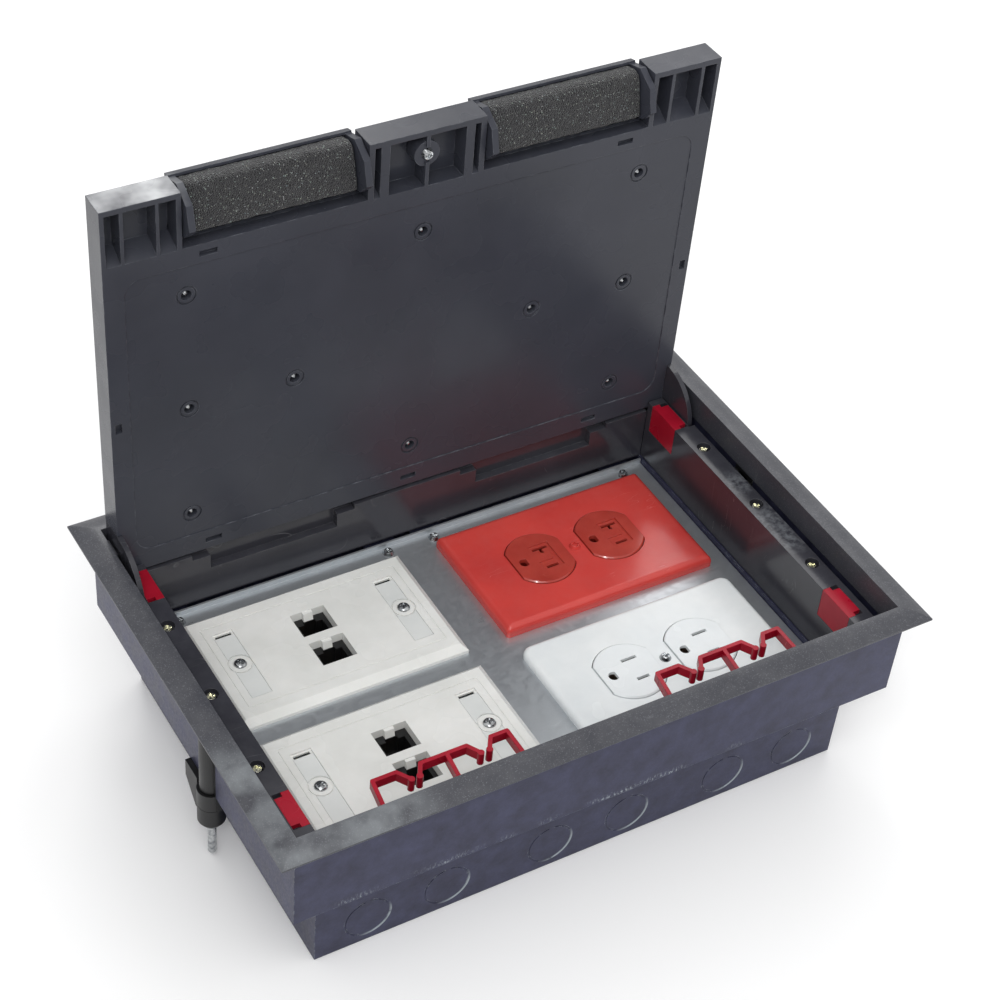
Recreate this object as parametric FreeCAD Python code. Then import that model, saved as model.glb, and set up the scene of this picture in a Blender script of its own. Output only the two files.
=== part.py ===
import FreeCAD, Part
import math
import os

# Recessed floor socket box: a two-tier steel pan under a bezel, a hinged lid with two
# cable flaps, and four wiring plates on a steel mounting plate.
# Millimetres. X runs along the long sides, Y towards the hinge, Z up. The origin is
# the centre of the pan's underside. The lid is drawn shut and then swung open.

V = FreeCAD.Vector
X_AXIS = V(1, 0, 0)
Y_AXIS = V(0, 1, 0)
Z_AXIS = V(0, 0, 1)

# Steel pan
steel = 1.2
lower_width = 271.0
lower_depth = 183.0
lower_height = 46.0
upper_width = 302.0
upper_depth = 204.0
upper_height = 46.0
knockout_diameter = 22.2
knockout_height = 15.0
knockout_slit = 0.7
knockout_tab_angle = 14.0
knockout_tab_angles = (90.0, 255.0)
knockout_offsets = (20.0, 72.0, 110.5)
end_knockout_offset = 40.0
plate_tab_width = 16.0
plate_tab_margin = 4.8

# Bezel
bezel_width = 320.0
bezel_depth = 218.0
bezel_flange = 11.5
bezel_rise = 3.5
bezel_edge = 0.9
skirt_depth = 10.0
pan_seat_depth = 0.5
lid_side_gap = 2.5
lid_end_gap = 0.8
hinge_relief = 1.5

# Lid
lid_thickness = 13.3
lid_below_rim = 0.3
lid_wall = 4.0
lid_floor = 3.0
lid_inlay_depth = 3.0
lid_back_radius = 5.0
lid_front_band = 32.0
lid_open_gap = 0.3
hinge_depth = 9.05
block_end_width = 34.7
block_centre_width = 55.4
flap_bay_depth = 25.5
pocket_wall = 2.5
pocket_depth = 9.0
pocket_length = 24.5
panel_recess = 0.4
panel_side_margin = 9.0
panel_front_margin = 36.0
panel_back_margin = 11.0
stud_pitch = 60.0
stud_first_row = 50.4
stud_column = 110.0
stud_mid_column = 60.0
stud_diameter = 3.0
stiffener_thickness = 2.0
fit_gap = 0.3

# Hinge
pin_diameter = 4.0
pin_running_gap = 0.06
pin_length = 8.8
ear_thickness = 2.4
ear_drop = 27.6
ear_reach = 14.4
ear_back = 6.4

# Cable flaps
flap_plate = 2.0
flap_side_gap = 0.8
flap_end_gap = 0.6
flap_barrel_radius = 3.7
flap_pivot_from_edge = 21.0
cheek_thickness = 3.0
cheek_depth = 19.5
flap_pin_diameter = 3.0
flap_rest_angle = 15.0
foam_depth = 10.6

# Inner walls, seen when the lid is open
well_half_width = 135.0
well_front = -90.0
well_back = 83.5
rail_top_width = 11.0
rail_thickness = 2.6
rail_below_floor = 10.4
rail_screw_pitch = 45.0
rail_screw_inset = 6.0
rail_centre = -2.0
clip_length = 20.0
clip_front_inset = 6.2
clip_back_inset = 3.8
clip_width = 7.6
clip_height = 15.5
clip_plate = 2.4
rear_liner_below_floor = 16.0
front_liner_below_floor = 15.3
liner_wall = 2.5
recess_centre = 69.7
recess_width = 64.6
recess_depth = 4.0
recess_height = 10.5
recess_notch = 9.0

# Cable combs
comb_centre = 70.0
comb_half_width = 33.0
comb_height = 4.5
comb_bar = 1.9
comb_reach = 14.0
comb_tip = -73.5
comb_bead_radius = 1.5
comb_bead_drop = 2.0

# Mounting plate and wiring plates
plate_below_floor = 48.0
mount_half_width = 134.0
mount_lip = 2.6
mount_screw_columns = (12.5, 121.0)
mount_screw_inset = 5.0
device_column = 67.5
device_row_pitch = 80.4
device_row_centre = -3.0
device_width = 114.3
device_depth = 69.85
device_wall = 1.9
data_plate_height = 5.0
red_plate_height = 6.0
white_plate_height = 4.2
label_centre = 41.0
label_width = 10.0
label_length = 43.0
device_screw_spacing = 83.3
keystone_width = 17.2
keystone_depth = 15.0
keystone_pitch = 19.8
jack_drop = 4.4
keystone_wall = 1.2
label_boss_radius = 5.2
jack_length = 24.0
face_spacing = 38.9
face_diameter = 34.1
face_flat = 28.6
face_gap = 0.35
face_rise = 0.8
blade_spacing = 12.7
receptacle_depth = 26.0
receptacle_width = 71.0
receptacle_height = 33.0
yoke_thickness = 1.2
yoke_length = 105.0
yoke_width = 19.0

# Fixing clamps
clamp_from_wall = 1.0
clamp_row = -20.3
clamp_slot_width = 14.0
clamp_slot_reach = 12.0
clamp_screw_diameter = 4.0
clamp_screw_length = 38.0
clamp_head_diameter = 7.0
clamp_finger = 19.0
clamp_body_radius = 6.3

# Screws
screw_head_diameter = 5.6
screw_head_height = 1.7
screw_shank_diameter = 3.0
screw_length = 9.0

# Levels and edges worked out from the sizes above
floor_z = lower_height + upper_height
ledge_z = lower_height + steel
rim_z = floor_z + bezel_rise
lid_top = rim_z - lid_below_rim
lid_under = lid_top - lid_thickness
opening_half_width = bezel_width / 2 - bezel_flange
opening_half_depth = bezel_depth / 2 - bezel_flange + 0.5
lid_half_width = opening_half_width - lid_side_gap
lid_half_depth = opening_half_depth - lid_end_gap
pivot_y = opening_half_depth - lid_open_gap - hinge_depth
pivot_z = lid_top - hinge_depth
rail_z = floor_z - rail_below_floor
plate_z = floor_z - plate_below_floor
pan_inner_half_width = upper_width / 2 - steel
pan_inner_half_depth = upper_depth / 2 - steel
lower_inner_half_width = lower_width / 2 - steel
lower_inner_half_depth = lower_depth / 2 - steel
block_inner_x = block_centre_width / 2
block_outer_x = lid_half_width - block_end_width
lid_front = -lid_half_depth
flap_pivot_y = lid_front + flap_pivot_from_edge
flap_pivot_z = lid_top - flap_barrel_radius
device_rows = (device_row_centre + device_row_pitch / 2, device_row_centre - device_row_pitch / 2)
mount_back = well_back - 1.3
mount_front = 2 * device_row_centre - mount_back
mount_screw_rows = (mount_front + mount_screw_inset, mount_back - mount_screw_inset)
rail_screw_rows = [rail_centre + n * rail_screw_pitch for n in (-1, 0, 1)]
clamp_x = -upper_width / 2 + clamp_from_wall


def block(x0, x1, y0, y1, z0, z1):
    return Part.makeBox(x1 - x0, y1 - y0, z1 - z0, V(x0, y0, z0))


def rod(radius, x, y, z0, z1):
    return Part.makeCylinder(radius, z1 - z0, V(x, y, z0), Z_AXIS)


def rod_x(radius, x0, x1, y, z):
    return Part.makeCylinder(radius, x1 - x0, V(x0, y, z), X_AXIS)


def fused(shapes):
    first = shapes[0]
    for other in shapes[1:]:
        first = first.fuse(other)
    return first.removeSplitter()


def outline_face(points, place):
    corners = [place(*point) for point in points]
    return Part.Face(Part.makePolygon(corners + corners[:1]))


def side_prism(points, x0, x1):
    # An outline in Y and Z, drawn out along X
    return outline_face(points, lambda y, z: V(x0, y, z)).extrude(V(x1 - x0, 0, 0))


def plan_prism(points, z0, z1):
    # An outline in X and Y, drawn out along Z
    return outline_face(points, lambda x, y: V(x, y, z0)).extrude(V(0, 0, z1 - z0))


def rounded_slab(x, y, half_x, half_y, radius, z0, z1):
    slab = block(x - half_x, x + half_x, y - half_y, y + half_y, z0, z1)
    uprights = [edge for edge in slab.Edges if abs(edge.tangentAt(edge.FirstParameter).z) > 0.9]
    return slab.makeFillet(radius, uprights)


def mirrored_x(shape):
    return shape.mirror(V(0, 0, 0), X_AXIS)


def half_turn(shape):
    turned = shape.copy()
    turned.rotate(V(0, 0, 0), Z_AXIS, 180)
    return turned


def swung_open(shape):
    turned = shape.copy()
    turned.rotate(V(0, pivot_y, pivot_z), X_AXIS, -90)
    return turned


def flap_ajar(shape):
    turned = shape.copy()
    turned.rotate(V(0, flap_pivot_y, flap_pivot_z), X_AXIS, -flap_rest_angle)
    return swung_open(turned)


def save(name, shape):
    if isinstance(shape, list):
        shape = Part.makeCompound(shape)
    shape.exportStep("parts/" + name + ".step")


# --- Steel pan ---

def knockout_slits(width_offset):
    # The cut round one knockout, left whole at its tabs, lying in the X-Z plane at y = 0
    radius = knockout_diameter / 2
    ring = rod(radius, 0, 0, -steel, 2 * steel).cut(rod(radius - knockout_slit, 0, 0, -steel, 2 * steel))
    for angle in knockout_tab_angles:
        tab = block(0, 2 * radius, -radius * math.radians(knockout_tab_angle) / 2,
                    radius * math.radians(knockout_tab_angle) / 2, -steel, 2 * steel)
        tab.rotate(V(0, 0, 0), Z_AXIS, angle)
        ring = ring.cut(tab)
    ring.rotate(V(0, 0, 0), X_AXIS, 90)
    ring.translate(V(width_offset, 0, knockout_height))
    return ring


def upper_pan():
    half_x, half_y = upper_width / 2, upper_depth / 2
    top = floor_z + pan_seat_depth
    shell = block(-half_x, half_x, -half_y, half_y, lower_height, top)
    shell = shell.cut(block(-half_x + steel, half_x - steel, -half_y + steel, half_y - steel, ledge_z, top))
    shell = shell.cut(block(-lower_inner_half_width, lower_inner_half_width,
                            -lower_inner_half_depth, lower_inner_half_depth, lower_height, ledge_z))
    slot = block(-half_x, -half_x + clamp_slot_reach, clamp_row - clamp_slot_width / 2,
                 clamp_row + clamp_slot_width / 2, lower_height, floor_z - skirt_depth)
    return shell.cut(slot).cut(half_turn(slot))


def lower_pan():
    half_x, half_y = lower_width / 2, lower_depth / 2
    shell = block(-half_x, half_x, -half_y, half_y, 0, lower_height)
    shell = shell.cut(block(-half_x + steel, half_x - steel, -half_y + steel, half_y - steel,
                            steel, lower_height))
    slits = []
    for offset in knockout_offsets:
        for side in (-1, 1):
            slit = knockout_slits(side * offset)
            slit.translate(V(0, -half_y + steel, 0))
            slits += [slit, half_turn(slit)]
    for side in (-1, 1):
        slit = knockout_slits(side * end_knockout_offset)
        slit.rotate(V(0, 0, 0), Z_AXIS, -90)
        slit.translate(V(-half_x + steel, 0, 0))
        slits += [slit, half_turn(slit)]
    shell = shell.cut(Part.makeCompound(slits))
    tab_top = plate_z - steel
    tabs = []
    for column in mount_screw_columns:
        for x in (-column, column):
            for row, side in zip(mount_screw_rows, (-1, 1)):
                wall = side * (half_y - steel)
                inner = row - side * plate_tab_margin
                tab = block(x - plate_tab_width / 2, x + plate_tab_width / 2, min(wall, inner),
                            max(wall, inner), tab_top - steel, tab_top)
                tabs.append(tab.cut(rod(screw_shank_diameter / 2, x, row, tab_top - steel, tab_top)))
    return fused([shell] + tabs)


# --- Bezel ---

def bezel_profile(half, along):
    # A low, rounded hat section across the whole bezel
    inner = half - bezel_flange
    def at(u, z):
        return V(u, 0, z) if along == "y" else V(0, u, z)
    mid = 0.55 * bezel_flange
    crown = bezel_edge + (bezel_rise - bezel_edge) * 0.86
    left = Part.Arc(at(-half, floor_z + bezel_edge), at(-inner - mid, floor_z + crown * 0.82 + 0.3),
                    at(-inner, rim_z)).toShape()
    right = Part.Arc(at(half, floor_z + bezel_edge), at(inner + mid, floor_z + crown * 0.82 + 0.3),
                     at(inner, rim_z)).toShape()
    rest = [Part.makeLine(at(-inner, rim_z), at(inner, rim_z)),
            Part.makeLine(at(half, floor_z + bezel_edge), at(half, floor_z)),
            Part.makeLine(at(half, floor_z), at(-half, floor_z)),
            Part.makeLine(at(-half, floor_z), at(-half, floor_z + bezel_edge))]
    wire = Part.Wire(Part.__sortEdges__([left, right] + rest))
    return Part.Face(wire)


def bezel_frame():
    half_x, half_y = bezel_width / 2, bezel_depth / 2
    across = bezel_profile(half_x, "y")
    across.translate(V(0, -half_y, 0))
    along = bezel_profile(half_y, "x")
    along.translate(V(-half_x, 0, 0))
    hat = across.extrude(V(0, bezel_depth, 0)).common(along.extrude(V(bezel_width, 0, 0)))
    skirt_x = pan_inner_half_width - fit_gap
    skirt_y = pan_inner_half_depth - fit_gap
    groove_x, groove_y = upper_width / 2 + fit_gap, upper_depth / 2 + fit_gap
    hat = hat.cut(block(-groove_x, groove_x, -groove_y, groove_y, floor_z, floor_z + pan_seat_depth))
    skirt = block(-skirt_x, skirt_x, -skirt_y, skirt_y, floor_z - skirt_depth, floor_z + pan_seat_depth)
    frame = hat.fuse(skirt)
    frame = frame.cut(block(-opening_half_width, opening_half_width, -opening_half_depth,
                            opening_half_depth, floor_z - skirt_depth, rim_z))
    frame = frame.cut(block(-lid_half_width - 1, lid_half_width + 1, 0, opening_half_depth + hinge_relief,
                            floor_z - skirt_depth, floor_z - fit_gap))
    lug_half = pin_diameter / 2 + 3.0
    lug_x = lid_half_width + 0.6
    lug = block(lug_x, skirt_x, pivot_y - lug_half, pivot_y + lug_half, pivot_z - lug_half, floor_z)
    lug = lug.cut(rod_x(pin_diameter / 2, lug_x, skirt_x, pivot_y, pivot_z))
    frame = frame.cut(rod_x(pin_diameter / 2, lug_x, skirt_x, pivot_y, pivot_z))
    frame = frame.cut(mirrored_x(rod_x(pin_diameter / 2, lug_x, skirt_x, pivot_y, pivot_z)))
    return fused([frame, lug, mirrored_x(lug)])


# --- Inner walls ---

def clip_seat(y0, y1, clearance):
    # The L-shaped space that one red clip fills at the end of a rail
    top = block(well_half_width - clearance, well_half_width + clip_width + clearance, y0 - clearance,
                y1 + clearance, rail_z - clip_plate - clearance, rail_z + 1)
    face = block(well_half_width - 1, well_half_width + clip_plate + clearance, y0 - clearance,
                 y1 + clearance, rail_z - clip_height - clearance, rail_z + 1)
    return top.fuse(face)


def clip_rows():
    front = well_front + clip_front_inset
    back = well_back - clip_back_inset
    return ((front, front + clip_length), (back - clip_length, back))


def side_rail():
    outer = well_half_width + rail_top_width
    ear_front = pivot_y - ear_drop - 2.0
    top = block(well_half_width, outer, well_front, well_back, rail_z - rail_thickness, rail_z)
    wall = block(well_half_width, well_half_width + rail_thickness, well_front, well_back, ledge_z, rail_z)
    parts = [top, wall]
    for y in rail_screw_rows:
        x = well_half_width + rail_screw_inset
        parts.append(block(x - 4.2, x + 4.2, y - 4.2, y + 4.2, ledge_z, rail_z))
    for y0, y1 in clip_rows():
        parts.append(block(well_half_width, well_half_width + clip_plate + 3, y0 - 2, y1 + 2,
                           rail_z - clip_height - 2.5, rail_z))
    rail = fused(parts)
    rail = rail.cut(block(lid_half_width - ear_thickness - 0.5, outer + 1, ear_front, well_back,
                          ledge_z, rail_z))
    for y0, y1 in clip_rows():
        rail = rail.cut(clip_seat(y0, y1, 0.1))
    for y in rail_screw_rows:
        x = well_half_width + rail_screw_inset
        rail = rail.cut(rod(screw_head_diameter / 2 + 0.5, x, y, rail_z - 3.0, rail_z))
        rail = rail.cut(rod(screw_shank_diameter / 2, x, y, rail_z - 3.0 - screw_length, rail_z))
    return rail


def rail_clip(y0, y1):
    x0 = well_half_width
    top = block(x0, x0 + clip_width, y0, y1, rail_z - clip_plate, rail_z)
    face = block(x0, x0 + clip_plate, y0, y1, rail_z - clip_height, rail_z)
    notch = 2.2
    clip = fused([top, face])
    for end_y, side in ((y0, 1), (y1, -1)):
        inner = end_y + side * notch
        clip = clip.cut(block(x0 + clip_width / 2, x0 + clip_width, min(end_y, inner), max(end_y, inner),
                              rail_z - clip_plate, rail_z))
    return clip


def rear_liner():
    top = floor_z - rear_liner_below_floor
    half_x = well_half_width - fit_gap
    back = pan_inner_half_depth - fit_gap
    shell = block(-half_x, half_x, well_back, back, ledge_z, top)
    shell = shell.cut(block(-half_x + liner_wall, half_x - liner_wall, well_back + recess_depth + liner_wall,
                            back - liner_wall, ledge_z, top - liner_wall))
    for side in (-1, 1):
        x = side * recess_centre
        shell = shell.cut(block(x - recess_width / 2, x + recess_width / 2, well_back,
                                well_back + recess_depth, top - recess_height, top))
        shell = shell.cut(block(x - recess_width / 2 - recess_notch, x + recess_width / 2 + recess_notch,
                                well_back, well_back + recess_depth, top - 0.25 * recess_height, top))
    return shell


def front_liner():
    top = floor_z - front_liner_below_floor
    half_x = well_half_width - fit_gap
    front = -pan_inner_half_depth + fit_gap
    shell = block(-half_x, half_x, front, well_front, ledge_z, top)
    return shell.cut(block(-half_x + liner_wall, half_x - liner_wall, front + liner_wall,
                           well_front - liner_wall, ledge_z, top - liner_wall))


def strip(points, width, z0, z1):
    # A flat bar of even width that follows a bent centre line in plan
    parts = []
    for (xa, ya), (xb, yb) in zip(points, points[1:]):
        length = math.hypot(xb - xa, yb - ya)
        bar = block(0, length, -width / 2, width / 2, z0, z1)
        bar.rotate(V(0, 0, 0), Z_AXIS, math.degrees(math.atan2(yb - ya, xb - xa)))
        bar.translate(V(xa, ya, 0))
        parts.append(bar)
    parts += [rod(width / 2, x, y, z0, z1) for x, y in points[1:-1]]
    return fused(parts)


def cable_comb(centre):
    z0 = floor_z - front_liner_below_floor
    z1 = z0 + comb_height
    tip = comb_tip - comb_bar / 2
    root = comb_tip - comb_reach - 2 * comb_bar
    bead_y = comb_tip - comb_reach / 2
    half = comb_half_width - comb_bar / 2
    left = [(-half - 2.5, root), (-half, tip), (-21.0, tip), (-17.0, bead_y)]
    middle = [(-13.0, bead_y), (-9.6, tip), (12.4, tip), (16.0, bead_y)]
    right = [(20.2, bead_y), (24.0, tip), (half, tip), (half, root)]
    divider = [(1.0, root), (2.8, tip)]
    parts = [strip(line, comb_bar, z0, z1) for line in (left, middle, right, divider)]
    parts += [rod(comb_bead_radius, x, bead_y, z0 - comb_bead_drop, z1) for x in (-17.0, -13.0, 16.0, 20.2)]
    base_front = -pan_inner_half_depth + fit_gap + 2.5
    parts.append(block(-half - 5, half + 3, base_front, root + 1, z0, z1))
    comb = fused(parts)
    comb.translate(V(centre, 0, 0))
    return comb


# --- Lid, drawn shut ---

def lid_section_blank():
    half = lid_half_depth
    r = lid_back_radius
    c = V(0, half - r, lid_top - r)
    corner = V(0, half - r + r * math.sin(math.radians(45)), lid_top - r + r * math.cos(math.radians(45)))
    edges = [Part.makeLine(V(0, -half, lid_under), V(0, -half, lid_top)),
             Part.makeLine(V(0, -half, lid_top), V(0, c.y, lid_top)),
             Part.Arc(V(0, c.y, lid_top), corner, V(0, half, c.z)).toShape(),
             Part.makeLine(V(0, half, c.z), V(0, half, lid_under)),
             Part.makeLine(V(0, half, lid_under), V(0, -half, lid_under))]
    face = Part.Face(Part.Wire(edges))
    face.translate(V(-lid_half_width, 0, 0))
    return face.extrude(V(2 * lid_half_width, 0, 0))


def stud_places():
    rows = [lid_front + stud_first_row + n * stud_pitch for n in range(3)]
    places = [(x, rows[0]) for x in (-stud_column, 0, stud_column)]
    places += [(x, rows[1]) for x in (-stud_column, -stud_mid_column, stud_mid_column, stud_column)]
    return places + [(x, rows[2]) for x in (-stud_column, 0, stud_column)]


def pocket(x0, x1, y_start):
    # A pocket with a sloping far wall, open to the lid's underside
    y_end = y_start + pocket_length
    slope = 5.0
    outline = [(y_start, lid_under), (y_start, lid_under + pocket_depth),
               (y_end - slope, lid_under + pocket_depth), (y_end, lid_under)]
    return side_prism(outline, x0, x1)


def lid_recess_bounds(margin):
    return (-lid_half_width + lid_wall + margin, lid_half_width - lid_wall - margin,
            lid_front + lid_front_band + margin, lid_half_depth - lid_wall - margin)


def lid_shell():
    lid = lid_section_blank()
    x0, x1, y0, y1 = lid_recess_bounds(0)
    plate_under = lid_top - lid_inlay_depth - stiffener_thickness
    inner = block(x0, x1, y0, y1, lid_under + lid_floor, lid_top)
    ribs = [block(x - 5, x + 5, y - 5, y + 5, lid_under, plate_under) for x, y in stud_places()]
    for n in range(1, 6):
        x = x0 + (x1 - x0) * n / 6
        ribs.append(block(x - 1, x + 1, y0, y1, lid_under, plate_under))
    for n in range(1, 4):
        y = y0 + (y1 - y0) * n / 4
        ribs.append(block(x0, x1, y - 1, y + 1, lid_under, plate_under))
    ledge = inner.cut(block(x0 + 3, x1 - 3, y0 + 3, y1 - 3, lid_under, lid_top))
    ledge = ledge.cut(block(x0, x1, y0, y1, plate_under, lid_top))
    inner = inner.cut(Part.makeCompound([ledge]))
    inner = inner.cut(fused(ribs))
    lid = lid.cut(inner)
    for side in (-1, 1):
        a, b = sorted((side * block_inner_x, side * block_outer_x))
        lid = lid.cut(block(a, b, lid_front, lid_front + flap_bay_depth, lid_under, lid_top))
        lid = lid.cut(block(a, b, lid_front, lid_front + flap_bay_depth + 1.2, lid_under, lid_under + 6.5))
    start = lid_front + pocket_wall
    end_x = lid_half_width
    for x0, x1 in ((2.0, 8.3), (9.9, 23.6), (25.1, 32.4)):
        cell = pocket(end_x - x1, end_x - x0, start)
        lid = lid.cut(cell).cut(mirrored_x(cell))
    slim = pocket(22.2, 25.0, start)
    lid = lid.cut(slim).cut(mirrored_x(slim))
    boss_y = lid_front + 11.7
    wide = block(-18, 18, start, start + pocket_length, lid_under, lid_under + pocket_depth)
    wide = wide.cut(block(-0.9, 0.9, start, start + pocket_length, lid_under, lid_under + pocket_depth))
    wide = wide.cut(rod(6.0, 0, boss_y, lid_under + 1.0, lid_under + pocket_depth))
    lid = lid.cut(wide)
    lid = lid.cut(rod(screw_shank_diameter / 2, 0, boss_y, lid_under, lid_under + screw_length))
    lid = lid.cut(rod(screw_head_diameter / 2 + 0.9, 0, boss_y, lid_under, lid_under + 1.0))
    panel_x = lid_half_width - panel_side_margin
    panel_y0 = lid_front + panel_front_margin
    panel_y1 = lid_half_depth - panel_back_margin
    panel = rounded_slab(0, (panel_y0 + panel_y1) / 2, panel_x, (panel_y1 - panel_y0) / 2, 8.0,
                         lid_under, lid_under + panel_recess)
    lid = lid.cut(panel)
    for x, y in stud_places():
        lid = lid.cut(rod(4.6, x, y, lid_under, lid_under + 1.0).cut(rod(3.8, x, y, lid_under, lid_under + 1.0)))
        lid = lid.cut(rod(stud_diameter / 2 + 0.9, x, y, lid_under, plate_under))
    slot_rows = [(-100.0, 31.4), (100.0, 31.4), (-100.0, 189.3), (0.0, 189.3), (100.0, 189.3)]
    for x, u in slot_rows:
        lid = lid.cut(block(x - 4, x + 4, lid_front + u - 1.3, lid_front + u + 1.3, lid_under, lid_under + 2))
    for side in (-1, 1):
        lid = lid.cut(block(side * 142.5 - 1.5, side * 142.5 + 1.5, lid_front + 107.5, lid_front + 112.5,
                            lid_under, lid_under + 2))
    ear_x = lid_half_width - ear_thickness - 0.1
    seat = block(ear_x, lid_half_width, lid_half_depth - 24, lid_half_depth, lid_under, lid_top)
    bore = rod_x(pin_diameter / 2 + pin_running_gap, ear_x - 3, lid_half_width, pivot_y, pivot_z)
    flap_bore = rod_x(flap_pin_diameter / 2 + pin_running_gap, block_inner_x - 2.5, block_outer_x + 2.5,
                      flap_pivot_y, flap_pivot_z)
    for cutter in (seat, bore, flap_bore):
        lid = lid.cut(cutter).cut(mirrored_x(cutter))
    return lid


def lid_stiffener():
    x0, x1, y0, y1 = lid_recess_bounds(fit_gap)
    top = lid_top - lid_inlay_depth
    return rounded_slab((x0 + x1) / 2, (y0 + y1) / 2, (x1 - x0) / 2, (y1 - y0) / 2, 2.0,
                        top - stiffener_thickness, top)


def lid_stud(x, y):
    radius = stud_diameter / 2
    top = lid_top - lid_inlay_depth - stiffener_thickness
    tip = lid_under + 1.2
    stud = rod(radius, x, y, tip + radius * 0.6, top)
    return stud.fuse(Part.makeCone(0.4, radius, radius * 0.6, V(x, y, tip), Z_AXIS)).removeSplitter()


def hinge_ear():
    # Drawn shut: a plate in the lid's end that hangs below it and turns on the hinge pin
    x0 = lid_half_width - ear_thickness
    drop_z = pivot_z - ear_drop
    back_y = pivot_y + ear_back
    front_y = pivot_y - ear_reach
    head_front = lid_half_depth - 23.8
    head_top = lid_top - 0.4
    bulge = V(x0, pivot_y - 0.5 * ear_reach, pivot_z - 0.80 * ear_drop)
    edges = [Part.makeLine(V(x0, back_y, drop_z), V(x0, back_y, head_top - 6.5)),
             Part.makeLine(V(x0, back_y, head_top - 6.5), V(x0, back_y - 4.0, head_top)),
             Part.makeLine(V(x0, back_y - 4.0, head_top), V(x0, head_front, head_top)),
             Part.makeLine(V(x0, head_front, head_top), V(x0, head_front, lid_under)),
             Part.makeLine(V(x0, head_front, lid_under), V(x0, front_y, lid_under - 6.0)),
             Part.Arc(V(x0, front_y, lid_under - 6.0), bulge, V(x0, back_y, drop_z)).toShape()]
    ear = Part.Face(Part.Wire(edges)).extrude(V(ear_thickness, 0, 0))
    bore = rod_x(pin_diameter / 2 + pin_running_gap, x0, lid_half_width, pivot_y, pivot_z)
    return ear.cut(bore)


def hinge_pin():
    x0 = lid_half_width - ear_thickness - 2.5
    return rod_x(pin_diameter / 2, x0, pan_inner_half_width - fit_gap, pivot_y, pivot_z)


# --- Cable flaps, drawn shut ---

def cable_flap(side):
    a, b = sorted((side * block_inner_x, side * block_outer_x))
    x0, x1 = a + flap_side_gap, b - flap_side_gap
    tip = lid_front + flap_end_gap
    plate = block(x0, x1, tip, flap_pivot_y, lid_top - flap_plate, lid_top)
    barrel = rod_x(flap_barrel_radius, x0, x1, flap_pivot_y, flap_pivot_z)
    lip = block(x0, x1, tip, tip + 1.2, lid_top - flap_plate - 1.6, lid_top)
    cheek = [(tip + 0.9, lid_top), (tip + 0.9, lid_top - 12.0), (tip + 8.4, lid_top - cheek_depth),
             (flap_pivot_y - 1.0, lid_top - cheek_depth), (flap_pivot_y + 3.0, lid_top - 13.0),
             (flap_pivot_y + 3.0, flap_pivot_z), (flap_pivot_y, lid_top)]
    parts = [plate, barrel, lip, side_prism(cheek, x0, x0 + cheek_thickness),
             side_prism(cheek, x1 - cheek_thickness, x1),
             rod_x(flap_pin_diameter / 2, x0 - flap_side_gap - 2.0, x1 + flap_side_gap + 2.0,
                   flap_pivot_y, flap_pivot_z)]
    return fused(parts)


def flap_foam(side):
    a, b = sorted((side * block_inner_x, side * block_outer_x))
    clear = flap_side_gap + cheek_thickness + fit_gap
    y0 = lid_front + flap_end_gap + 1.5
    y1 = flap_pivot_y - flap_barrel_radius - fit_gap
    top = lid_top - flap_plate
    under_barrel = flap_pivot_z - flap_barrel_radius - fit_gap
    pad = block(a + clear, b - clear, y0, y1, top - foam_depth, top)
    pad = fused([pad, block(a + clear, b - clear, y0, flap_pivot_y + 2.5, top - foam_depth, under_barrel)])
    front = [edge for edge in pad.Edges
             if edge.BoundBox.ZMax < top - foam_depth + 0.01 and edge.BoundBox.YMax < y0 + 0.01]
    return pad.makeFillet(4.0, front)


# --- Mounting plate and wiring plates ---

def mounting_plate():
    plate = block(-mount_half_width, mount_half_width, mount_front, mount_back, plate_z - steel, plate_z)
    lip = block(-mount_half_width, mount_half_width, mount_back - steel, mount_back, plate_z - steel,
                plate_z + mount_lip)
    plate = plate.fuse(lip)
    for row in device_rows:
        for side in (-1, 1):
            x = side * device_column
            if side < 0:
                half_x, half_y = 29.0, 24.0
            else:
                half_x, half_y = receptacle_width / 2 + 1, receptacle_height / 2 + 1
            plate = plate.cut(block(x - half_x, x + half_x, row - half_y, row + half_y,
                                    plate_z - steel, plate_z))
            for end in (-1, 1):
                hole_x = x + end * device_screw_spacing / 2
                plate = plate.cut(rod(screw_shank_diameter / 2, hole_x, row, plate_z - steel, plate_z))
    for column in mount_screw_columns:
        for x in (-column, column):
            for y in mount_screw_rows:
                plate = plate.cut(rod(screw_shank_diameter / 2, x, y, plate_z - steel, plate_z))
    return plate.removeSplitter()


def plate_blank(height, bevel, corner):
    # A shallow cover with sloping or rounded sides, open underneath, centred on the origin
    half_x, half_y = device_width / 2, device_depth / 2
    slab = block(-half_x, half_x, -half_y, half_y, 0, height)
    if corner > 0:
        uprights = [edge for edge in slab.Edges if abs(edge.tangentAt(edge.FirstParameter).z) > 0.9]
        slab = slab.makeFillet(corner, uprights)
    rim = [edge for edge in slab.Edges
           if edge.BoundBox.ZMin > height - 0.01]
    if bevel[0] == "round":
        slab = slab.makeFillet(bevel[1], rim)
    else:
        slab = slab.makeChamfer(bevel[1], bevel[2], rim)
    inside = bevel[1] + device_wall * 0.4
    return slab.cut(block(-half_x + inside, half_x - inside, -half_y + inside, half_y - inside,
                          0, height - device_wall))


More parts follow.
